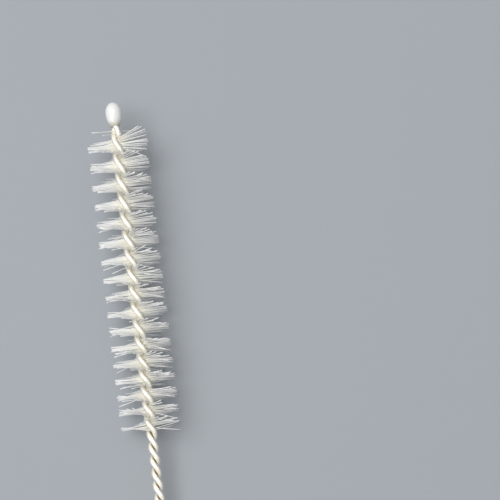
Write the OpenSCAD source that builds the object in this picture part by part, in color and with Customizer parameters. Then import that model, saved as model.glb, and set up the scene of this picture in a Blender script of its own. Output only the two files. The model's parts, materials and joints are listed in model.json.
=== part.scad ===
// Test tube brush. One wire is doubled into a hanging loop, its two legs are twisted together
// round rows of nylon bristles, and their cut ends are sealed in a moulded bead.
// It is modelled standing on its loop along +Z, then laid down as it comes to rest,
// on its last bristles and on the end of the loop.

/* [Whole brush] */
// Length from the end of the loop to the top of the bead
overall_l = 175; // [150:1:240]

/* [Bristles] */
// Diameter over the ends of the bristles
head_d = 12; // [8:0.5:20]
// Length of the wire that holds bristles
head_l = 60.4; // [30:0.1:75]
// Thickness of one bristle
bristle_d = 0.2; // [0.15:0.01:0.3]
// Layers of bristles pinched between the two legs of the wire
bristle_layers = 2; // [1:1:3]
// Angle of the first bristle from the plane of the loop
first_angle = 49; // [0:0.5:180]

/* [Wire] */
// Thickness of the wire
wire_d = 1.05; // [0.7:0.05:1.5]
// Length of one turn of the twist at the bead's end of the bristles
tip_pitch = 8.3; // [6:0.1:9.5]
// Length of one turn of the twist at the stem's end of the bristles
root_pitch = 6.2; // [5:0.1:8]
// Length of one turn of the twist along the bare stem
stem_pitch = 5; // [4:0.1:7]
// Bare wire between the bead and the first bristle
neck_l = 0.9; // [0.6:0.1:4]
// Length over which the legs close up below the last bristle
closing_l = 1.6; // [1:0.1:4]

/* [Loop] */
// Width over the outside of the loop
loop_w = 13; // [9:0.5:20]
// Length from the end of the loop to where the twist starts
loop_l = 22; // [18:0.5:36]
// Length over which each leg leaves the twist
loop_release = 2.2; // [1:0.1:4]

/* [Bead] */
// Length of the bead
bead_l = 4.9; // [3.5:0.1:9]
// Distance from the top of the bead down to its widest place
bead_crown = 2; // [1.2:0.1:3]
// Plastic over the cut ends of the wire
bead_cover = 1.2; // [0.8:0.1:2.5]
// Plastic beside the twisted wire at the bead's widest place
bead_wall = 0.54; // [0.4:0.02:1.5]
// Plastic beside the twisted wire at the foot of the bead
bead_lip = 0.1; // [0.1:0.02:0.4]

/* [Clearances] */
// Gap between neighbouring bristles
bristle_gap = 0.016; // [0.01:0.002:0.03]
// Gap between the pinched bristles and each leg of the wire
pinch_gap = 0.04; // [0.03:0.005:0.08]
// Gap between the two legs along the bare twist
leg_gap = 0.03; // [0.02:0.01:0.08]
// Gap between the bead and the wire inside it
bead_gap = 0.02; // [0.01:0.01:0.05]

/* [Hidden] */
wire_sides = 8;
bristle_sides = 6;
head_step = 30;
stem_step = 40;
release_steps = 6;
bend_steps = 8;
bead_sides = 36;
bead_steps = 7;

wire_r = wire_d / 2;
head_r = head_d / 2;

// Heights above the end of the loop, with the brush standing on it
bead_foot = overall_l - bead_l;
head_top = bead_foot - neck_l;
stem_l = head_top - head_l - closing_l - loop_l;

// Distance of each leg's centre from the axis, along the bare twist and among the bristles
closed_r = wire_r + leg_gap / 2;
layer_pitch = bristle_d + bristle_gap;
stack_r = ((bristle_layers - 1) * layer_pitch + bristle_d) / 2;
open_r = wire_r + stack_r + pinch_gap;

// Twist, in degrees a millimetre. The head holds a whole number of half turns,
// and the stem's rate is trimmed so that the legs lie in the loop's plane where it starts.
head_rows = max(1, round((1 / tip_pitch + 1 / root_pitch) * head_l));
head_twist = 180 * head_rows;
head_trim = head_rows / ((1 / tip_pitch + 1 / root_pitch) * head_l);
tip_rate = 360 / tip_pitch * head_trim;
root_rate = 360 / root_pitch * head_trim;
stem_twist_wanted = (root_rate + 360 / stem_pitch) / 2 * closing_l + 360 / stem_pitch * stem_l;
loop_twist = 90 - first_angle
    + 180 * round((head_twist + stem_twist_wanted - 90 + first_angle) / 180);
stem_rate = (loop_twist - head_twist - root_rate * closing_l / 2) / (stem_l + closing_l / 2);
closed_twist = head_twist + (root_rate + stem_rate) / 2 * closing_l;

// Distance along a stretch whose rate of twist changes evenly from its first to its last
function ramp_length(first, last, length, twist) =
    abs(last - first) < 0.001
        ? twist / first
        : (sqrt(first * first + 2 * (last - first) / length * twist) - first) * length / (last - first);

// Distance below the first bristle at which the wire has turned by a twist
function depth_at(twist) =
    twist < 0 ? twist / tip_rate
    : twist <= head_twist ? ramp_length(tip_rate, root_rate, head_l, twist)
    : twist <= closed_twist
        ? head_l + ramp_length(root_rate, stem_rate, closing_l, twist - head_twist)
    : head_l + closing_l + (twist - closed_twist) / stem_rate;

// Twist of the wire at a depth among the bristles
function head_twist_at(depth) =
    tip_rate * depth + (root_rate - tip_rate) / head_l * depth * depth / 2;

// Goes smoothly from 0 to 1 as x does
function ease(x) = let (t = min(1, max(0, x))) t * t * (3 - 2 * t);

// Distance of each leg's centre from the axis at a depth below the first bristle.
// The legs part between the bead and the first bristle and meet again below the last one.
function leg_r(depth) =
    closed_r + (open_r - closed_r) * (ease(1 + depth / neck_l) - ease((depth - head_l) / closing_l));

// Centre of the leg that reaches the loop on its +X side
function leg_centre(twist) =
    let (depth = depth_at(twist), r = leg_r(depth), angle = twist - loop_twist)
    [r * cos(angle), r * sin(angle), head_top - depth];

function turned(p) = [-p.x, -p.y, p.z];

function unit(v) = v / norm(v);

// Even steps of twist from one value to another, without the first
function twist_steps(from, to, step) =
    let (count = ceil((to - from) / step))
    [for (i = [1:count]) from + (to - from) * i / count];

// The wire's line: down one leg, round the loop and up the other leg
wire_top_twist = -(neck_l + bead_l - bead_cover) * tip_rate;
leg_twists = concat(
    [wire_top_twist],
    twist_steps(wire_top_twist, 0, head_step),
    twist_steps(0, head_twist, head_step),
    twist_steps(head_twist, closed_twist, head_step),
    twist_steps(closed_twist, loop_twist, stem_step)
);
leg_steps = len(leg_twists) - 1;
leg_line = [for (twist = leg_twists) leg_centre(twist)];

bend_r = (loop_w - wire_d) / 2;
bend_z = wire_r + bend_r;
bend_start = asin(bend_r / (loop_l - bend_z));
release_from = leg_line[leg_steps];
release_to = [bend_r * cos(bend_start), 0, bend_z + bend_r * sin(bend_start)];
release_slope = unit([0, closed_r * stem_rate * PI / 180, -1]);
bend_slope = [sin(bend_start), 0, -cos(bend_start)];
release_guides = [
    release_from,
    release_from + release_slope * loop_release,
    release_to - bend_slope * norm(release_to - release_from) / 2,
    release_to
];

// Point on the cubic curve of four guide points
function curve_point(g, t) =
    pow(1 - t, 3) * g[0] + 3 * pow(1 - t, 2) * t * g[1] + 3 * (1 - t) * t * t * g[2] + pow(t, 3) * g[3];

release_line = [for (i = [1:release_steps]) curve_point(release_guides, i / release_steps)];
bend_line = [for (i = [1:bend_steps])
    let (a = bend_start - (90 + bend_start) * i / bend_steps)
    [bend_r * cos(a), 0, bend_z + bend_r * sin(a)]];
half_line = concat(leg_line, release_line, bend_line);
half_count = len(half_line);
wire_line = concat(half_line, [for (i = [half_count - 2:-1:0]) turned(half_line[i])]);
wire_last = len(wire_line) - 1;

// Outward direction at a point of the wire: away from the axis on a leg, and in the loop's
// plane round the loop
function outward(i, along) =
    i <= leg_steps ? unit([wire_line[i].x, wire_line[i].y, 0])
    : i >= wire_last - leg_steps ? unit([wire_line[i].x, wire_line[i].y, 0])
    : unit(cross(along, [0, 1, 0]));

// One ring of points round the wire's line, with a flat side facing the other leg
function wire_ring(i, r) =
    let (
        along = unit(wire_line[min(i + 1, wire_last)] - wire_line[max(i - 1, 0)]),
        out = outward(i, along),
        side = unit(out - (out * along) * along),
        across = cross(along, side),
        corner_r = r / cos(180 / wire_sides)
    )
    [for (k = [0:wire_sides - 1])
        let (a = (k + 0.5) * 360 / wire_sides)
        wire_line[i] + corner_r * (cos(a) * side + sin(a) * across)];

// Depths of the bristles of one half turn, as many as lie beside each other along it
function row_depths(row) =
    let (
        start = depth_at(180 * (row - 1)),
        length = depth_at(180 * row) - start,
        count = floor(length / layer_pitch)
    )
    [for (i = [0:count - 1]) start + length * (i + 0.5) / count];

// Angle at which the axis lies when a point this far out and this high up touches the floor
function lying_angle(reach, height) =
    atan2(reach, height - wire_r) - asin(wire_r / norm([reach, height - wire_r]));

// The brush lies on the loop's end and on the bristle that meets the floor first
rest_angle = max([for (row = [1:head_rows], depth = row_depths(row))
    lying_angle(
        head_r * abs(sin(first_angle + head_twist_at(depth))),
        head_top - depth - bristle_d / 2
    )]);
rest_y = -overall_l * cos(rest_angle) / 2;
rest_z = wire_r * (1 - sin(rest_angle));

function row_name(row) = str("bristle_row_", row < 10 ? "0" : "", row);

// Lays the standing brush along +Y, with the loop flat and the bead's end raised by the bristles
module laid_down() {
    translate([0, rest_y, rest_z])
        rotate([rest_angle - 90, 0, 0])
            children();
}

// A closed tube through rings of points
module skin(rings) {
    sides = len(rings[0]);
    last = (len(rings) - 1) * sides;
    walls = [for (i = [0:len(rings) - 2], k = [0:sides - 1])
        let (a = i * sides + k, b = i * sides + (k + 1) % sides)
        each [[a, a + sides, b], [b, a + sides, b + sides]]];
    first_cap = [for (k = [0:sides - 1]) k];
    last_cap = [for (k = [sides - 1:-1:0]) last + k];
    polyhedron(
        points = [for (ring = rings, p = ring) p],
        faces = concat(walls, [first_cap, last_cap]),
        convexity = 20
    );
}

module twisted_wire() {
    color("gainsboro")
        laid_down()
            skin([for (i = [0:wire_last]) wire_ring(i, wire_r)]);
}

// Room for the end of one leg inside the bead, past its foot
module leg_socket() {
    rings = ceil((bead_l - bead_cover + neck_l) * tip_rate / head_step);
    skin([for (i = [0:rings])
        [for (p = wire_ring(i, wire_r + bead_gap)) p + [0, 0, i == 0 ? bead_gap : 0]]]);
}

// Room for both twisted legs, open between them to just above their slanted ends
module wire_socket() {
    leg_socket();
    rotate([0, 0, 180]) leg_socket();
    translate([0, 0, bead_foot - bead_gap])
        cylinder(h = bead_l - bead_cover + wire_r / 3, r = closed_r - wire_r / 3, $fn = wire_sides);
}

// Half of the bead's outline, a drop that is blunt at the top and narrows to its foot
module bead_outline() {
    foot_r = closed_r + wire_r + bead_lip;
    wide_r = closed_r + wire_r + bead_wall;
    taper_l = (bead_l - bead_crown) / sqrt(1 - pow(foot_r / wide_r, 2));
    crown = [for (i = [0:bead_steps])
        let (a = 90 - 90 * i / bead_steps)
        [wide_r * cos(a), overall_l - bead_crown + bead_crown * sin(a)]];
    foot_angle = asin((bead_l - bead_crown) / taper_l);
    taper = [for (i = [1:bead_steps])
        let (a = foot_angle * i / bead_steps)
        [wide_r * cos(a), overall_l - bead_crown - taper_l * sin(a)]];
    polygon(concat(crown, taper, [[0, bead_foot]]));
}

module tip_bead() {
    color("white")
        laid_down()
            difference() {
                rotate_extrude($fn = bead_sides) bead_outline();
                wire_socket();
            }
}

// The bristles of one half turn of the wire, each one filament pinched at its middle
module bristle_row(row) {
    color("whitesmoke")
        laid_down()
            for (depth = row_depths(row), layer = [0:bristle_layers - 1])
                translate([0, 0, head_top - depth])
                    rotate([0, 0, first_angle + head_twist_at(depth)])
                        translate([0, (layer - (bristle_layers - 1) / 2) * layer_pitch, 0])
                            rotate([0, 90, 0])
                                cylinder(h = head_d, d = bristle_d, center = true, $fn = bristle_sides);
}

twisted_wire();
tip_bead();
for (row = [1:head_rows])
    bristle_row(row);
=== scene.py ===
"""A test tube brush that lies on a pale studio floor.

One steel wire is doubled into a hanging loop. Its two legs are twisted round nylon bristles and
end in a white plastic bead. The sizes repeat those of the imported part, in metres.
"""

import json
import math
import random

import bmesh
import bpy
from bpy.props import FloatProperty, FloatVectorProperty, IntProperty, PointerProperty
from mathutils import Matrix, Vector


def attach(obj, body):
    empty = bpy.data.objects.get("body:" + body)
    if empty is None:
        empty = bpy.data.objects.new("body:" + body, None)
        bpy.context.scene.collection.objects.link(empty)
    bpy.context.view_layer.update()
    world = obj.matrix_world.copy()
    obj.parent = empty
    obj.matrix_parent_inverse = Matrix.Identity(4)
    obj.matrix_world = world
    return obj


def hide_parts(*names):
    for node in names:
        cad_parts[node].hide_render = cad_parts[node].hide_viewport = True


bl_info = {
    "name": "Test tube brush",
    "version": (1, 0, 0),
    "blender": (4, 5, 0),
    "location": "View3D > Sidebar > Brush",
    "description": "Makes a twisted wire test tube brush and the studio that it lies in",
    "category": "Object",
}

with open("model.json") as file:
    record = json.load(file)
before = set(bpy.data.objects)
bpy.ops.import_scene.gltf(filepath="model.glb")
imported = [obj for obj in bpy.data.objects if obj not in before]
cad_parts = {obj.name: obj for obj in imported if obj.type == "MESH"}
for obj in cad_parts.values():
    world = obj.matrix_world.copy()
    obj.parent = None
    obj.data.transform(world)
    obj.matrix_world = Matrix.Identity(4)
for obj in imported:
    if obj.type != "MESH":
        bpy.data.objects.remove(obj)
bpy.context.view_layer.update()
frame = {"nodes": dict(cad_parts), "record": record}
BODY = "root"
HEAD_MOUNT = next(m for m in frame["record"]["mounts"] if m["name"] == "bristle_head")
BRISTLE_NODES = sorted(name for name in frame["nodes"] if name.startswith("bristle_row_"))

MM = 0.001
HALF_TURN = math.pi
# Rates of twist this close count as one, in radians a metre
SAME_RATE = 1e-3


def linear(code):
    """Turns an sRGB hex colour to linear light."""
    parts = [int(code[i : i + 2], 16) / 255 for i in (1, 3, 5)]
    return [c / 12.92 if c <= 0.04045 else ((c + 0.055) / 1.055) ** 2.4 for c in parts]


def length_of(name, description, default_mm, low_mm, high_mm):
    """A size in metres, given in millimetres."""
    return FloatProperty(
        name=name,
        description=description,
        default=default_mm * MM,
        min=low_mm * MM,
        max=high_mm * MM,
        unit="LENGTH",
        precision=5,
    )


def angle_of(name, description, default_deg):
    """An angle in radians, given in degrees."""
    return FloatProperty(
        name=name, description=description, default=math.radians(default_deg), subtype="ANGLE"
    )


def colour_of(name, description, code):
    """A colour, given as an sRGB hex value."""
    return FloatVectorProperty(
        name=name,
        description=description,
        default=linear(code),
        min=0.0,
        max=1.0,
        subtype="COLOR",
        size=3,
    )


class BrushSizes(bpy.types.PropertyGroup):
    """The sizes of the brush. The squeeze is the scene's own, and the part has the others."""

    overall_length: length_of(
        "Overall length", "From the end of the loop to the top of the bead", 175, 150, 240
    )
    head_width: length_of("Head width", "Over the ends of the bristles", 12, 8, 20)
    head_length: length_of("Head length", "Wire that holds bristles", 60.4, 30, 75)
    bristle_width: length_of("Bristle width", "Thickness of one bristle", 0.2, 0.15, 0.3)
    layer_step: length_of("Bristle step", "From one bristle to the next", 0.216, 0.16, 0.33)
    first_angle: angle_of("First angle", "First bristle from the plane of the loop", 49)
    wire_width: length_of("Wire width", "Thickness of the wire", 1.05, 0.7, 1.5)
    tip_pitch: length_of("Tip pitch", "One turn of the twist beside the bead", 8.3, 6, 9.5)
    root_pitch: length_of("Root pitch", "One turn of the twist at the last bristle", 6.2, 5, 8)
    stem_pitch: length_of("Stem pitch", "One turn of the twist along the bare stem", 5, 4, 7)
    neck_length: length_of("Neck length", "Bare wire between bead and bristles", 0.9, 0.6, 4)
    closing_length: length_of("Closing length", "Where the legs close up", 1.6, 1, 4)
    pinch_gap: length_of("Pinch gap", "Between the bristles and each leg", 0.04, 0.03, 0.08)
    squeeze: length_of("Squeeze", "How far each leg then presses the bristles in", 0.064, 0, 0.08)
    leg_gap: length_of("Leg gap", "Between the two legs of the stem", 0.03, 0.02, 0.08)
    loop_width: length_of("Loop width", "Over the outside of the loop", 13, 9, 20)
    loop_length: length_of("Loop length", "From its end to the twist", 22, 18, 36)
    loop_release: length_of("Loop release", "Where each leg leaves the twist", 2.2, 1, 4)
    bead_length: length_of("Bead length", "Length of the bead", 4.9, 3.5, 9)
    bead_crown: length_of("Bead crown", "From its top to its widest place", 2, 1.2, 3)
    bead_cover: length_of("Bead cover", "Plastic over the wire's cut ends", 1.2, 0.8, 2.5)
    bead_wall: length_of("Bead wall", "Plastic beside the wire", 0.54, 0.4, 1.5)
    bead_lip: length_of("Bead lip", "Plastic beside the wire at the foot", 0.1, 0.1, 0.4)


class BrushLooks(bpy.types.PropertyGroup):
    """The colours of the brush and how evenly its bristles lie."""

    wire_colour: colour_of("Wire", "Bright drawn steel wire", "#FBF8EE")
    wire_tarnish: colour_of("Wire tarnish", "Faint warm tarnish on the wire", "#D8CDB7")
    # The wire groove colour is painted shade in the groove of the twist
    wire_groove_shade: colour_of("Wire groove", "Where the two legs face each other", "#BFB49E")
    bristle_colour: colour_of("Bristles", "White nylon", "#FAFAF8")
    # The root colour is a painted warm reflection of the wire on the nylon
    bristle_root_reflection: colour_of("Bristle roots", "Where the nylon leaves the wire", "#FDFAEE")
    bristle_end: colour_of("Bristle ends", "Where the nylon was cut", "#FCFCFB")
    bead_colour: colour_of("Bead", "White moulded plastic", "#FAFAF8")
    bead_skirt: colour_of("Bead skirt", "Thin plastic over the wire", "#C9C6B4")
    scatter: angle_of("Scatter", "How far a bristle leans from its place", 1.9)
    seed: IntProperty(name="Seed", description="Which set of small leans is used", default=11)


class StudioSettings(bpy.types.PropertyGroup):
    """The camera and the floor."""

    floor_colour: colour_of("Floor", "Pale matt floor", "#A9AEB4")
    view_lean: angle_of("Lean", "How far the brush leans to the left in the view", 7.05)
    view_slant: angle_of("Slant", "How far the camera looks along the brush to its bead", 6.5)
    view_distance: length_of("Distance", "From the camera to the brush", 600, 200, 2000)
    view_width: length_of("View width", "Width that the camera takes in", 100, 50, 300)
    bead_left: length_of("Bead left", "From the bead's top to the middle of the view", 27.55, 0, 50)
    bead_up: length_of("Bead up", "From the middle of the view to the bead's top", 29.5, 0, 50)


def ease(x):
    """Goes smoothly from 0 to 1 as x does."""
    t = min(1.0, max(0.0, x))
    return t * t * (3 - 2 * t)


def between(knots, x):
    """Reads a value off a line through a few points."""
    for (x0, y0), (x1, y1) in zip(knots, knots[1:]):
        if x <= x1:
            return y0 + (y1 - y0) * (x - x0) / (x1 - x0)
    return knots[-1][1]


class BrushForm:
    """Where the wire and the bristles run on a brush that stands on its loop along +Z."""

    # Share of the first half turn in which the bristles have mostly worked loose
    LOOSE_SHARE = 0.36
    # The legs open over this many times the length of that share
    OPENING_RATIO = 1.5

    def __init__(self, sizes):
        self.sizes = s = sizes
        self.wire_r = s.wire_width / 2
        self.head_r = s.head_width / 2
        self.bead_foot = s.overall_length - s.bead_length
        self.head_top = self.bead_foot - s.neck_length
        self.closed_r = self.wire_r + s.leg_gap / 2
        self.open_r = self.wire_r + (s.layer_step + s.bristle_width) / 2 + s.pinch_gap - s.squeeze
        self.set_twist()
        self.opening_length = self.OPENING_RATIO * self.depth_at(HALF_TURN * self.LOOSE_SHARE)

    def set_twist(self):
        """Rates are in radians a metre. The head holds a whole number of half turns."""
        s = self.sizes
        half_turns = (1 / s.tip_pitch + 1 / s.root_pitch) * s.head_length
        self.rows = max(1, round(half_turns))
        trim = 2 * math.pi * self.rows / half_turns
        self.tip_rate = trim / s.tip_pitch
        self.root_rate = trim / s.root_pitch
        self.head_twist = HALF_TURN * self.rows
        stem_length = self.head_top - s.head_length - s.closing_length - s.loop_length
        stem_rate = 2 * math.pi / s.stem_pitch
        wanted = (self.root_rate + stem_rate) / 2 * s.closing_length + stem_rate * stem_length
        to_loop = HALF_TURN / 2 - s.first_angle
        self.loop_twist = to_loop + HALF_TURN * round(
            (self.head_twist + wanted - to_loop) / HALF_TURN
        )
        self.stem_rate = (
            self.loop_twist - self.head_twist - self.root_rate * s.closing_length / 2
        ) / (stem_length + s.closing_length / 2)
        self.closed_twist = (
            self.head_twist + (self.root_rate + self.stem_rate) / 2 * s.closing_length
        )

    def depth_at(self, twist):
        """Distance below the first bristle at which the wire has turned by a twist."""
        s = self.sizes

        def ramp(first, last, length, turned):
            """Distance at which a rate that goes evenly from first to last has turned so far."""
            if abs(last - first) < SAME_RATE:
                return turned / first
            root = math.sqrt(first * first + 2 * (last - first) / length * turned)
            return (root - first) * length / (last - first)

        if twist < 0:
            return twist / self.tip_rate
        if twist <= self.head_twist:
            return ramp(self.tip_rate, self.root_rate, s.head_length, twist)
        if twist <= self.closed_twist:
            turned = twist - self.head_twist
            return s.head_length + ramp(
                self.root_rate, self.stem_rate, s.closing_length, turned
            )
        return s.head_length + s.closing_length + (twist - self.closed_twist) / self.stem_rate

    def twist_at(self, depth):
        """The wire's twist at a depth within the head."""
        growth = (self.root_rate - self.tip_rate) / self.sizes.head_length
        return self.tip_rate * depth + growth * depth * depth / 2

    def leg_r(self, depth):
        """Distance of each leg's centre from the axis.

        The legs open slowly where the bristles are loose, and close up past the last bristle.
        """
        s = self.sizes
        opening = ease((depth - s.neck_length / 2) / self.opening_length)
        closing = ease((depth - s.head_length) / (s.closing_length / 2))
        return self.closed_r + (self.open_r - self.closed_r) * (opening - closing)

    def leg_centre(self, twist):
        """Centre of the leg that reaches the loop on its +X side."""
        depth = self.depth_at(twist)
        angle = twist - self.loop_twist
        r = self.leg_r(depth)
        return Vector((r * math.cos(angle), r * math.sin(angle), self.head_top - depth))

    def row_places(self, row):
        """Depth and sideways place of each bristle of one half turn, counted from 0.

        Two layers lie side by side, and the second is half a bristle further on.
        """
        start = self.depth_at(HALF_TURN * row)
        length = self.depth_at(HALF_TURN * (row + 1)) - start
        count = int(length / self.sizes.layer_step)
        outer = self.open_r - self.wire_r - self.sizes.bristle_width / 2
        for i in range(2 * count):
            yield start + length * (i + 0.5) / (2 * count), outer if i % 2 else -outer

    def laid(self):
        """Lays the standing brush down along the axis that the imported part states."""
        along = Vector(HEAD_MOUNT["axis"]).normalized()
        across = Vector((1, 0, 0))
        down = along.cross(across)
        middle = self.head_top - self.sizes.head_length / 2
        laid = Matrix((across, down, along)).transposed().to_4x4()
        laid.translation = Vector(HEAD_MOUNT["pos_m"]) - along * middle
        return laid


def node(tree, kind, links=(), **settings):
    """Adds a node, sets its properties and sockets, and links what feeds it."""
    made = tree.nodes.new(kind)
    for key, value in settings.items():
        if hasattr(made, key):
            setattr(made, key, value)
        else:
            made.inputs[key.replace("_", " ")].default_value = value
    for socket, source in links:
        tree.links.new(source, made.inputs[socket])
    return made


def new_material(name):
    """A material with its shader and nothing linked to it yet."""
    material = bpy.data.materials.new(name)
    material.use_nodes = True
    return material, material.node_tree, material.node_tree.nodes["Principled BSDF"]


def rgba(colour):
    """Adds full opacity to a colour."""
    return (*colour, 1.0)


def drawn_steel(looks):
    """Bright steel wire, drawn through a die: a soft gloss, long lines and a faint warm tarnish.

    It is painted darker in the groove of the twist on the bare stem, as painted shade.
    """
    material, tree, shader = new_material("drawn_steel_wire")
    place = node(tree, "ShaderNodeAttribute", attribute_name="straight_place")
    # Die lines run with the wire, about 0.1 mm apart and 9 mm long. Real ones are at most a few
    # hundredths of a millimetre apart, and these are coarser so that they show
    lines_space = node(
        tree,
        "ShaderNodeMapping",
        [("Vector", place.outputs["Vector"])],
        Scale=(1.0, 1.0, 0.012),
    )
    lines = node(
        tree,
        "ShaderNodeTexNoise",
        [("Vector", lines_space.outputs["Vector"])],
        Scale=9000.0,
        Detail=2.0,
    )
    # Tarnish in patches of about 2.4 mm
    patches = node(
        tree,
        "ShaderNodeTexNoise",
        [("Vector", place.outputs["Vector"])],
        Scale=420.0,
        Detail=3.0,
    )
    amount = node(
        tree,
        "ShaderNodeMapRange",
        [("Value", patches.outputs["Fac"])],
        From_Min=0.45,
        From_Max=0.75,
        To_Min=0.0,
        To_Max=0.35,
    )
    rubbed = node(
        tree,
        "ShaderNodeMix",
        [("Factor", amount.outputs["Result"])],
        data_type="RGBA",
    )
    rubbed.inputs["A"].default_value = rgba(looks.wire_colour)
    rubbed.inputs["B"].default_value = rgba(looks.wire_tarnish)
    # Painted shade in the groove between the two legs of the bare stem
    groove_shade = node(tree, "ShaderNodeAttribute", attribute_name="groove_shade")
    colour = node(
        tree,
        "ShaderNodeMix",
        [("Factor", groove_shade.outputs["Fac"]), ("A", rubbed.outputs["Result"])],
        data_type="RGBA",
    )
    colour.inputs["B"].default_value = rgba(looks.wire_groove_shade)
    roughness = node(
        tree,
        "ShaderNodeMapRange",
        [("Value", lines.outputs["Fac"])],
        To_Min=0.5,
        To_Max=0.62,
    )
    bump = node(
        tree,
        "ShaderNodeBump",
        [("Height", lines.outputs["Fac"])],
        Strength=0.35,
        Distance=0.01 * MM,
    )
    shader.inputs["Metallic"].default_value = 1.0
    tree.links.new(colour.outputs["Result"], shader.inputs["Base Color"])
    tree.links.new(roughness.outputs["Result"], shader.inputs["Roughness"])
    tree.links.new(bump.outputs["Normal"], shader.inputs["Normal"])
    return material


def nylon(looks, half_length):
    """White nylon: a soft sheen along it, a painted wire reflection at the roots, frosted where cut.
    """
    material, tree, shader = new_material("nylon_filament")
    place = node(tree, "ShaderNodeAttribute", attribute_name="straight_place")
    axes = node(tree, "ShaderNodeSeparateXYZ", [("Vector", place.outputs["Vector"])])
    reach = node(tree, "ShaderNodeMath", [(0, axes.outputs["Z"])], operation="ABSOLUTE")
    frosted = node(
        tree,
        "ShaderNodeMapRange",
        [("Value", reach.outputs["Value"])],
        From_Min=half_length - 0.5 * MM,
        From_Max=half_length - 0.1 * MM,
    )
    # The white of a filament drifts over about 3 mm of its length
    cloud = node(
        tree,
        "ShaderNodeTexNoise",
        [("Vector", place.outputs["Vector"])],
        Scale=300.0,
        Detail=2.0,
    )
    tone = node(
        tree,
        "ShaderNodeMapRange",
        [("Value", cloud.outputs["Fac"])],
        From_Min=0.3,
        From_Max=0.7,
        To_Min=0.95,
        To_Max=1.0,
    )
    # Painted warm reflection of the wire on the roots, gone by 3.2 mm out
    clear_of_wire = node(
        tree,
        "ShaderNodeMapRange",
        [("Value", reach.outputs["Value"])],
        From_Min=0.8 * MM,
        From_Max=3.2 * MM,
    )
    body = node(
        tree, "ShaderNodeMix", [("Factor", clear_of_wire.outputs["Result"])], data_type="RGBA"
    )
    body.inputs["A"].default_value = rgba(looks.bristle_root_reflection)
    body.inputs["B"].default_value = rgba(looks.bristle_colour)
    colour = node(
        tree,
        "ShaderNodeMix",
        [("Factor", frosted.outputs["Result"]), ("A", body.outputs["Result"])],
        data_type="RGBA",
    )
    colour.inputs["B"].default_value = rgba(looks.bristle_end)
    shade = node(
        tree,
        "ShaderNodeVectorMath",
        [(0, colour.outputs["Result"]), ("Scale", tone.outputs["Result"])],
        operation="SCALE",
    )
    roughness = node(
        tree,
        "ShaderNodeMapRange",
        [("Value", frosted.outputs["Result"])],
        To_Min=0.34,
        To_Max=0.7,
    )
    shader.inputs["IOR"].default_value = 1.53
    shader.inputs["Subsurface Weight"].default_value = 0.1
    shader.inputs["Subsurface Radius"].default_value = (1.0, 1.0, 1.0)
    shader.inputs["Subsurface Scale"].default_value = 0.3 * MM
    shader.inputs["Sheen Weight"].default_value = 0.5
    shader.inputs["Sheen Roughness"].default_value = 0.5
    tree.links.new(shade.outputs["Vector"], shader.inputs["Base Color"])
    tree.links.new(roughness.outputs["Result"], shader.inputs["Roughness"])
    return material


def moulded_plastic(looks):
    """Glossy white moulded plastic, faintly rippled, through whose thin skirt the wire shows."""
    material, tree, shader = new_material("white_moulded_plastic")
    place = node(tree, "ShaderNodeTexCoord")
    # Ripples about 1 mm across, as the mould leaves them
    ripple = node(
        tree,
        "ShaderNodeTexNoise",
        [("Vector", place.outputs["Object"])],
        Scale=900.0,
        Detail=2.0,
    )
    bump = node(
        tree,
        "ShaderNodeBump",
        [("Height", ripple.outputs["Fac"])],
        Strength=0.15,
        Distance=0.05 * MM,
    )
    roughness = node(
        tree,
        "ShaderNodeMapRange",
        [("Value", ripple.outputs["Fac"])],
        To_Min=0.16,
        To_Max=0.28,
    )
    thinness = node(tree, "ShaderNodeAttribute", attribute_name="thinness")
    colour = node(tree, "ShaderNodeMix", [("Factor", thinness.outputs["Fac"])], data_type="RGBA")
    colour.inputs["A"].default_value = rgba(looks.bead_colour)
    colour.inputs["B"].default_value = rgba(looks.bead_skirt)
    tree.links.new(colour.outputs["Result"], shader.inputs["Base Color"])
    shader.inputs["IOR"].default_value = 1.49
    shader.inputs["Subsurface Weight"].default_value = 0.35
    shader.inputs["Subsurface Radius"].default_value = (1.0, 1.0, 1.0)
    shader.inputs["Subsurface Scale"].default_value = 0.8 * MM
    tree.links.new(roughness.outputs["Result"], shader.inputs["Roughness"])
    tree.links.new(bump.outputs["Normal"], shader.inputs["Normal"])
    return material


def finish_piece(name, bm, material, smooth=True):
    """Turns a bmesh into a named object at the origin."""
    mesh = bpy.data.meshes.new(name)
    bm.to_mesh(mesh)
    bm.free()
    mesh.materials.append(material)
    mesh.polygons.foreach_set("use_smooth", [smooth] * len(mesh.polygons))
    piece = bpy.data.objects.new(name, mesh)
    bpy.context.scene.collection.objects.link(piece)
    return piece


def ring_place(centre, along, outward):
    """Places a ring across a line, with its first corner turned outward."""
    side = (outward - along * outward.dot(along)).normalized()
    place = Matrix((side, along.cross(side), along)).transposed().to_4x4()
    place.translation = centre
    return place


def sweep(bm, places, radius, sides):
    """Draws a round bar along a row of ring places, and keeps where each point lay when straight."""
    straight = bm.verts.layers.float_vector.new("straight_place")
    ring = bmesh.ops.create_circle(bm, cap_ends=True, radius=radius, segments=sides)["verts"]
    for vert in ring:
        vert[straight] = vert.co
    bmesh.ops.transform(bm, matrix=places[0], verts=ring)
    edges = {edge for vert in ring for edge in vert.link_edges}
    travelled = 0.0
    for before, after in zip(places, places[1:]):
        travelled += (after.translation - before.translation).length
        grown = bmesh.ops.extrude_edge_only(bm, edges=list(edges))["geom"]
        ring = [g for g in grown if isinstance(g, bmesh.types.BMVert)]
        edges = {
            g
            for g in grown
            if isinstance(g, bmesh.types.BMEdge) and all(v in ring for v in g.verts)
        }
        for vert in ring:
            vert[straight] = (*vert[straight][:2], travelled)
        bmesh.ops.transform(bm, matrix=after @ before.inverted(), verts=ring)
    bmesh.ops.contextual_create(bm, geom=list(edges))
    bmesh.ops.recalc_face_normals(bm, faces=bm.faces)


def bezier(guides, t):
    """A point on the curve of four guide points, with t from 0 to 1."""
    a, b, c, d = guides
    u = 1 - t
    return u**3 * a + 3 * u * u * t * b + 3 * u * t * t * c + t**3 * d


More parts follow.
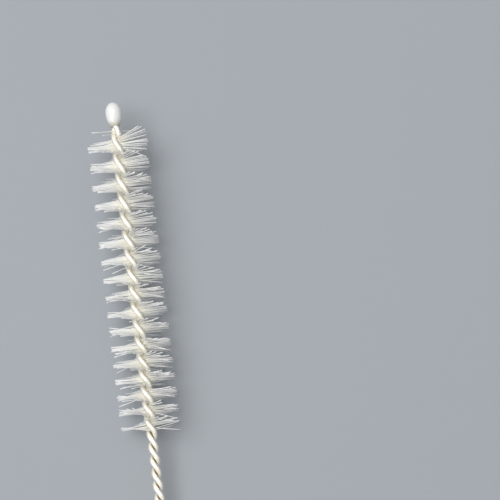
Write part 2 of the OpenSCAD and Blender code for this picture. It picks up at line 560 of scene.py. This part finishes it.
def wire_places(form):
    """The wire's line, down one leg, round the loop and up the other."""
    s = form.sizes
    rings_a_turn, release_rings, bend_rings = 24, 28, 32
    top_twist = -(s.neck_length + s.bead_length - s.bead_cover) * form.tip_rate
    count = math.ceil((form.loop_twist - top_twist) / (2 * math.pi) * rings_a_turn)
    leg = [
        form.leg_centre(top_twist + (form.loop_twist - top_twist) * i / count)
        for i in range(count + 1)
    ]
    bend_r = (s.loop_width - s.wire_width) / 2
    bend_z = form.wire_r + bend_r
    start = math.asin(bend_r / (s.loop_length - bend_z))
    end_of_release = Vector((bend_r * math.cos(start), 0, bend_z + bend_r * math.sin(start)))
    leaving = Vector((0, form.closed_r * form.stem_rate, -1)).normalized()
    arriving = Vector((math.sin(start), 0, -math.cos(start)))
    span = (end_of_release - leg[-1]).length
    guides = (
        leg[-1],
        leg[-1] + leaving * s.loop_release,
        end_of_release - arriving * span / 2,
        end_of_release,
    )
    release = [bezier(guides, i / release_rings) for i in range(1, release_rings + 1)]
    bend = []
    for i in range(1, bend_rings + 1):
        angle = start - (math.pi / 2 + start) * i / bend_rings
        bend.append(Vector((bend_r * math.cos(angle), 0, bend_z + bend_r * math.sin(angle))))
    half = leg + release + bend
    line = half + [Vector((-p.x, -p.y, p.z)) for p in reversed(half[:-1])]
    last = len(line) - 1
    places = []
    for i, point in enumerate(line):
        along = (line[min(i + 1, last)] - line[max(i - 1, 0)]).normalized()
        on_leg = min(i, last - i) <= count
        outward = Vector((point.x, point.y, 0)) if on_leg else along.cross(Vector((0, 1, 0)))
        places.append(ring_place(point, along, outward))
    return places


class BRUSH_OT_make_wire(bpy.types.Operator):
    """Bends one wire into the hanging loop and the two twisted legs"""

    bl_idname = "brush.make_wire"
    bl_label = "Make wire"

    SIDES = 16
    # Where the painted groove shade begins and how far it goes in towards the axis, in wire widths
    GROOVE_EDGE, GROOVE_DEPTH = 0.66, 0.36

    def execute(self, context):
        form = BrushForm(context.scene.brush_sizes)
        bm = bmesh.new()
        sweep(bm, wire_places(form), form.wire_r, self.SIDES)
        self.mark_groove_shade(bm, form)
        bm.transform(form.laid())
        wire = finish_piece("wire", bm, drawn_steel(context.scene.brush_looks))
        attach(wire, BODY)
        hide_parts("twisted_wire")
        return {"FINISHED"}

    def mark_groove_shade(self, bm, form):
        """Keeps how deep in the twist of the bare stem each point lies, for the painted shade in its
        groove.
        """
        s = form.sizes
        groove_shade = bm.verts.layers.float.new("groove_shade")
        for vert in bm.verts:
            if s.loop_length < vert.co.z < form.head_top - s.head_length:
                out = math.hypot(vert.co.x, vert.co.y) / s.wire_width
                vert[groove_shade] = ease((self.GROOVE_EDGE - out) / self.GROOVE_DEPTH)


def straight_bristle(form):
    """One straight filament along Z, cut into lengths so that it can bend."""
    sides, lengths = 6, 6
    bm = bmesh.new()
    bmesh.ops.create_cone(
        bm,
        cap_ends=True,
        segments=sides,
        radius1=form.sizes.bristle_width / 2,
        radius2=form.sizes.bristle_width / 2,
        depth=form.sizes.head_width,
    )
    for i in range(1, lengths):
        height = form.head_r * (2 * i / lengths - 1)
        bmesh.ops.bisect_plane(
            bm,
            geom=bm.verts[:] + bm.edges[:] + bm.faces[:],
            plane_co=(0, 0, height),
            plane_no=(0, 0, 1),
        )
    layer = bm.verts.layers.float_vector.new("straight_place")
    for vert in bm.verts:
        vert[layer] = vert.co
    mesh = bpy.data.meshes.new("straight_bristle")
    bm.to_mesh(mesh)
    bm.free()
    return mesh


def lay_bristle(bm, mesh, number, place, halves):
    """Adds one filament at its place. Each half leans and bends by its own small amounts."""
    pattern_step = 3 * MM
    first = len(bm.verts)
    bm.from_mesh(mesh)
    bm.verts.ensure_lookup_table()
    layer = bm.verts.layers.float_vector.get("straight_place")
    for vert in bm.verts[first:]:
        x, y, reach = vert.co
        half = halves[0] if reach < 0 else halves[1]
        out = abs(reach) * half["length"]
        rise = half["lift"] + half["bend"] * out
        # The filament keeps its length when it leans
        along = out * math.cos(rise)
        vert.co = place @ Vector(
            (x - out * math.sin(rise), y + half["turn"] * out, math.copysign(along, reach))
        )
        # Each filament reads its own part of the pattern
        vert[layer] = (x + number * pattern_step, y, reach)


class BristleHabit:
    """Draws the small leans of the bristles: those of a clump lie alike, and a few stray."""

    # Bristles to a clump, and how much of the scatter it has sideways
    CLUMP, CLUMP_TURNING = 4, 0.6
    # The most that a bristle turns towards the side of the brush, and that its tip lifts or sinks
    CROWDING, GATHERING = math.radians(10), math.radians(6)
    # Where they have mostly worked loose, one in this many is left
    KEPT_OF_FIRST, KEPT_OF_LAST = 5, 3
    LAST_LOOSE_FROM = 0.5
    # Elsewhere the missing share grows by this much a row, from this many rows above the stem
    LOOSENING, LOOSENING_ROWS = 0.05, 5
    # Share of strays beside the bead, how much it grows to the stem, and their lift in radians
    STRAYS, MORE_STRAYS = 0.02, 0.12
    STRAY_LIFTS = (-0.34, 0.1)
    # Spread of the bend in radians a metre, and of the share that a bristle was cut short by
    BENDING, SHORTNESS = 5.5, 0.012
    # How far one side of the last half turn lifts, and how unevenly the first one fans out
    LAST_LIFT, FIRST_UNEVENNESS = math.radians(4.5), 0.05
    # Degrees at each share of the first half turn
    FIRST_LIFTS = ((0, -3), (0.13, -8), (0.3, -6), (0.36, 9), (0.5, 7), (0.69, -8), (1, 0))
    FIRST_TURNS = ((0, 0), (0.3, 0), (0.36, -14), (0.7, -5), (1, 0))

    def __init__(self, looks, form):
        self.draw = random.Random(looks.seed)
        self.scatter = looks.scatter
        self.rows = form.rows
        self.clump = [(0.0, 0.0), (0.0, 0.0)]

    def start_clump(self):
        """Draws how a new clump lies on its two sides."""
        self.clump = [
            (
                self.draw.gauss(0, self.scatter),
                self.draw.gauss(0, self.scatter * self.CLUMP_TURNING),
            )
            for _ in range(2)
        ]

    def is_missing(self, row, number, through):
        """A few bristles have worked loose at both ends of the head."""
        if row == 0 and through < BrushForm.LOOSE_SHARE:
            return number % self.KEPT_OF_FIRST > 0
        if row == self.rows - 1 and through > self.LAST_LOOSE_FROM:
            return number % self.KEPT_OF_LAST > 0
        rows_in = max(0, row - self.rows + self.LOOSENING_ROWS)
        return self.draw.random() < self.LOOSENING * rows_in

    def half(self, row, side, through, points_to):
        """Leans of one half. `through` goes from 0 to 1 along the half turn.

        The bristles were pressed flat when packed, so they crowd towards the brush's two sides,
        and near the stem their tips gather as well.
        """
        draw = self.draw
        lift, turn = self.clump[side]
        lift += draw.gauss(0, self.scatter)
        turn += draw.gauss(0, self.scatter)
        crowding = self.CROWDING * math.sin(2 * points_to)
        turn += crowding if side == 0 else -crowding
        lowness = row / self.rows
        lift += self.GATHERING * lowness**2 * math.sin(2 * points_to)
        bend = draw.gauss(0, self.BENDING)
        if draw.random() < self.STRAYS + self.MORE_STRAYS * lowness:
            # A stray hangs out of its row, and more of them do so near the stem
            lift += draw.uniform(*self.STRAY_LIFTS)
        if row == 0 and side == 0:
            # Nothing above holds the first ones down
            fanned = math.radians(between(self.FIRST_LIFTS, through))
            lift += fanned + draw.gauss(0, self.FIRST_UNEVENNESS)
            turn += math.radians(between(self.FIRST_TURNS, through))
        if row == self.rows - 1 and side == 0:
            # The last ones lean a little towards the bead on one side
            lift += self.LAST_LIFT
        return {
            "lift": lift,
            "turn": math.tan(turn),
            "bend": bend,
            "length": 1 - abs(draw.gauss(0, self.SHORTNESS)),
        }


class BRUSH_OT_make_bristles(bpy.types.Operator):
    """Lays the nylon bristles of each half turn between the two legs"""

    bl_idname = "brush.make_bristles"
    bl_label = "Make bristles"

    def execute(self, context):
        form = BrushForm(context.scene.brush_sizes)
        looks = context.scene.brush_looks
        material = nylon(looks, form.head_r)
        mesh = straight_bristle(form)
        habit = BristleHabit(looks, form)
        laid = form.laid()
        for row, name in enumerate(BRISTLE_NODES):
            bm = bmesh.new()
            places = list(form.row_places(row))
            for number, (depth, offset) in enumerate(places):
                if number % habit.CLUMP == 0:
                    habit.start_clump()
                through = number / len(places)
                if habit.is_missing(row, number, through):
                    continue
                if row == 0 and through < form.LOOSE_SHARE:
                    offset = 0.0
                direction = form.sizes.first_angle + form.twist_at(depth)
                out = Vector((math.cos(direction), math.sin(direction), 0))
                beside = Vector((-math.sin(direction), math.cos(direction), 0))
                # Z of the filament points out, and X down to the stem
                place = Matrix((Vector((0, 0, -1)), beside, out)).transposed().to_4x4()
                place.translation = Vector((0, 0, form.head_top - depth)) + beside * offset
                halves = [habit.half(row, side, through, direction) for side in range(2)]
                lay_bristle(bm, mesh, number, place, halves)
            bm.transform(laid)
            piece = finish_piece(name.replace("bristle_row", "bristles"), bm, material)
            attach(piece, BODY)
            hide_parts(name)
        return {"FINISHED"}


class BRUSH_OT_make_bead(bpy.types.Operator):
    """Moulds the bead over the wire's cut ends"""

    bl_idname = "brush.make_bead"
    bl_label = "Make bead"

    RINGS, SIDES = 14, 48
    # How far the skirt is drawn in across the legs, and how late its plastic thins
    HUG, THIN_LATE = 0.14, 4

    def execute(self, context):
        sizes = context.scene.brush_sizes
        form = BrushForm(sizes)
        foot_r = form.closed_r + form.wire_r + sizes.bead_lip
        wide_r = form.closed_r + form.wire_r + sizes.bead_wall
        wide_z = sizes.overall_length - sizes.bead_crown
        fall = sizes.bead_length - sizes.bead_crown
        taper = fall / math.sqrt(1 - (foot_r / wide_r) ** 2)
        foot_angle = math.asin(fall / taper)
        outline = []
        for i in range(self.RINGS + 1):
            angle = math.pi / 2 * (1 - i / self.RINGS)
            outline.append((wide_r * math.cos(angle), wide_z + sizes.bead_crown * math.sin(angle)))
        for i in range(1, self.RINGS + 1):
            angle = foot_angle * i / self.RINGS
            outline.append((wide_r * math.cos(angle), wide_z - taper * math.sin(angle)))
        outline.append((0.0, form.bead_foot))
        bm = bmesh.new()
        verts = [bm.verts.new((x, 0, z)) for x, z in outline]
        edges = [bm.edges.new(pair) for pair in zip(verts, verts[1:])]
        bmesh.ops.spin(
            bm,
            geom=verts + edges,
            cent=(0, 0, 0),
            axis=(0, 0, 1),
            angle=2 * math.pi,
            steps=self.SIDES,
            use_merge=True,
        )
        bmesh.ops.remove_doubles(bm, verts=bm.verts, dist=1e-7)
        self.hug_wire(bm, form, wide_z, fall)
        bmesh.ops.recalc_face_normals(bm, faces=bm.faces)
        bm.transform(form.laid())
        bead = finish_piece("bead", bm, moulded_plastic(context.scene.brush_looks))
        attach(bead, BODY)
        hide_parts("tip_bead")
        return {"FINISHED"}

    def hug_wire(self, bm, form, wide_z, fall):
        """Draws the skirt in across the two legs, and keeps how thin the plastic is there."""
        thinness = bm.verts.layers.float.new("thinness")
        for vert in bm.verts:
            low = ease((wide_z - vert.co.z) / fall)
            angle = form.twist_at(form.head_top - vert.co.z) - form.loop_twist
            beside = Vector((-math.sin(angle), math.cos(angle), 0))
            vert.co -= beside * (vert.co.dot(beside) * self.HUG * low)
            vert[thinness] = low**self.THIN_LATE


def floor_material(studio):
    """Pale matt paper, with a grain too fine to see from here drawn as a faint mottle."""
    material, tree, shader = new_material("pale_paper_floor")
    place = node(tree, "ShaderNodeTexCoord")
    # The grain is a tenth of a millimetre, and its mottle is drawn about 6 mm across
    mottle = node(
        tree,
        "ShaderNodeTexNoise",
        [("Vector", place.outputs["Object"])],
        Scale=160.0,
        Detail=3.0,
    )
    roughness = node(
        tree, "ShaderNodeMapRange", [("Value", mottle.outputs["Fac"])], To_Min=0.8, To_Max=0.9
    )
    shader.inputs["Base Color"].default_value = rgba(studio.floor_colour)
    shader.inputs["Specular IOR Level"].default_value = 0.2
    tree.links.new(roughness.outputs["Result"], shader.inputs["Roughness"])
    return material


def add_lamp(name, place, aim, side, power):
    """A soft square lamp at a place, turned to a point."""
    data = bpy.data.lights.new(name, "AREA")
    data.shape = "SQUARE"
    data.size = side
    data.energy = power
    lamp = bpy.data.objects.new(name, data)
    bpy.context.scene.collection.objects.link(lamp)
    turned = (Vector(aim) - Vector(place)).to_track_quat("-Z", "Y")
    lamp.matrix_world = Matrix.Translation(place) @ turned.to_matrix().to_4x4()


class BRUSH_OT_make_studio(bpy.types.Operator):
    """Sets the camera, the floor and the soft light"""

    bl_idname = "brush.make_studio"
    bl_label = "Make studio"

    FLOOR_REACH = 2.0
    # The key lamp stands high at the upper left of the view
    KEY_PLACE = (-0.42, 0.22, 1.2)
    KEY_AIM = (0, 0.05, 0)
    KEY_SIDE = 0.9
    KEY_POWER = 12.3

    def execute(self, context):
        scene = context.scene
        studio = scene.brush_studio
        form = BrushForm(scene.brush_sizes)
        self.set_camera(scene, studio, form)
        self.set_floor(studio)
        self.set_light(scene)
        return {"FINISHED"}

    def set_camera(self, scene, studio, form):
        """Looks down on the brush, a little along it to its bead."""
        laid = form.laid()
        along = (laid.to_3x3() @ Vector((0, 0, 1))).normalized()
        upward = -(laid.to_3x3() @ Vector((0, 1, 0))).normalized()
        slant, lean = studio.view_slant, studio.view_lean
        forward = along * math.sin(slant) - upward * math.cos(slant)
        brush_up = along * math.cos(slant) + upward * math.sin(slant)
        across = forward.cross(brush_up)
        up = brush_up * math.cos(lean) + across * math.sin(lean)
        right = forward.cross(up)
        bead_top = laid @ Vector((0, 0, scene.brush_sizes.overall_length))
        middle = bead_top + right * studio.bead_left - up * studio.bead_up
        data = bpy.data.cameras.new("camera")
        data.sensor_width = 36.0
        data.lens = data.sensor_width * studio.view_distance / studio.view_width
        data.clip_end = 10.0
        camera = bpy.data.objects.new("camera", data)
        scene.collection.objects.link(camera)
        turned = Matrix((right, up, -forward)).transposed().to_4x4()
        turned.translation = middle - forward * studio.view_distance
        camera.matrix_world = turned
        scene.camera = camera

    def set_floor(self, studio):
        """Lays the floor that the brush rests on."""
        bm = bmesh.new()
        bmesh.ops.create_grid(bm, x_segments=1, y_segments=1, size=self.FLOOR_REACH)
        floor = finish_piece("floor", bm, floor_material(studio), smooth=False)

    def set_light(self, scene):
        """A white room overhead and one soft lamp."""
        world = bpy.data.worlds.new("studio")
        scene.world = world
        world.use_nodes = True
        tree = world.node_tree
        background = tree.nodes["Background"]
        background.inputs["Color"].default_value = (1.0, 1.0, 1.0, 1.0)
        # The room is white overhead and has a quarter of that at its walls
        place = node(tree, "ShaderNodeTexCoord")
        axes = node(tree, "ShaderNodeSeparateXYZ", [("Vector", place.outputs["Generated"])])
        room = node(
            tree,
            "ShaderNodeMapRange",
            [("Value", axes.outputs["Z"])],
            From_Min=0.1,
            From_Max=0.5,
            To_Min=0.25,
            To_Max=1.0,
        )
        # The lens and the steel see all of it, and what lights the scene is dimmer
        ray = node(tree, "ShaderNodeLightPath")
        seen = node(
            tree,
            "ShaderNodeMath",
            [(0, ray.outputs["Is Camera Ray"]), (1, ray.outputs["Is Glossy Ray"])],
            operation="MAXIMUM",
        )
        share = node(
            tree,
            "ShaderNodeMapRange",
            [("Value", seen.outputs["Value"])],
            To_Min=0.4,
            To_Max=1.0,
        )
        strength = node(
            tree,
            "ShaderNodeMath",
            [(0, room.outputs["Result"]), (1, share.outputs["Result"])],
            operation="MULTIPLY",
        )
        tree.links.new(strength.outputs["Value"], background.inputs["Strength"])
        add_lamp("key", self.KEY_PLACE, self.KEY_AIM, self.KEY_SIDE, self.KEY_POWER)
        scene.view_settings.view_transform = "Standard"


class VIEW3D_PT_brush(bpy.types.Panel):
    """Lists the steps that make the brush"""

    bl_label = "Test tube brush"
    bl_idname = "VIEW3D_PT_brush"
    bl_space_type = "VIEW_3D"
    bl_region_type = "UI"
    bl_category = "Brush"

    def draw(self, context):
        for step in STEPS:
            self.layout.operator(step.bl_idname)


STEPS = (
    BRUSH_OT_make_studio,
    BRUSH_OT_make_wire,
    BRUSH_OT_make_bristles,
    BRUSH_OT_make_bead,
)
CLASSES = (BrushSizes, BrushLooks, StudioSettings, *STEPS, VIEW3D_PT_brush)


def register():
    """Registers the classes and gives every scene its settings."""
    for cls in CLASSES:
        bpy.utils.register_class(cls)
    bpy.types.Scene.brush_sizes = PointerProperty(type=BrushSizes)
    bpy.types.Scene.brush_looks = PointerProperty(type=BrushLooks)
    bpy.types.Scene.brush_studio = PointerProperty(type=StudioSettings)


def unregister():
    """Takes the settings and the classes away again."""
    del bpy.types.Scene.brush_studio
    del bpy.types.Scene.brush_looks
    del bpy.types.Scene.brush_sizes
    for cls in reversed(CLASSES):
        bpy.utils.unregister_class(cls)


def main():
    """Makes the studio and the brush."""
    register()
    bpy.ops.brush.make_studio()
    bpy.ops.brush.make_wire()
    bpy.ops.brush.make_bristles()
    bpy.ops.brush.make_bead()


if __name__ == "__main__":
    main()
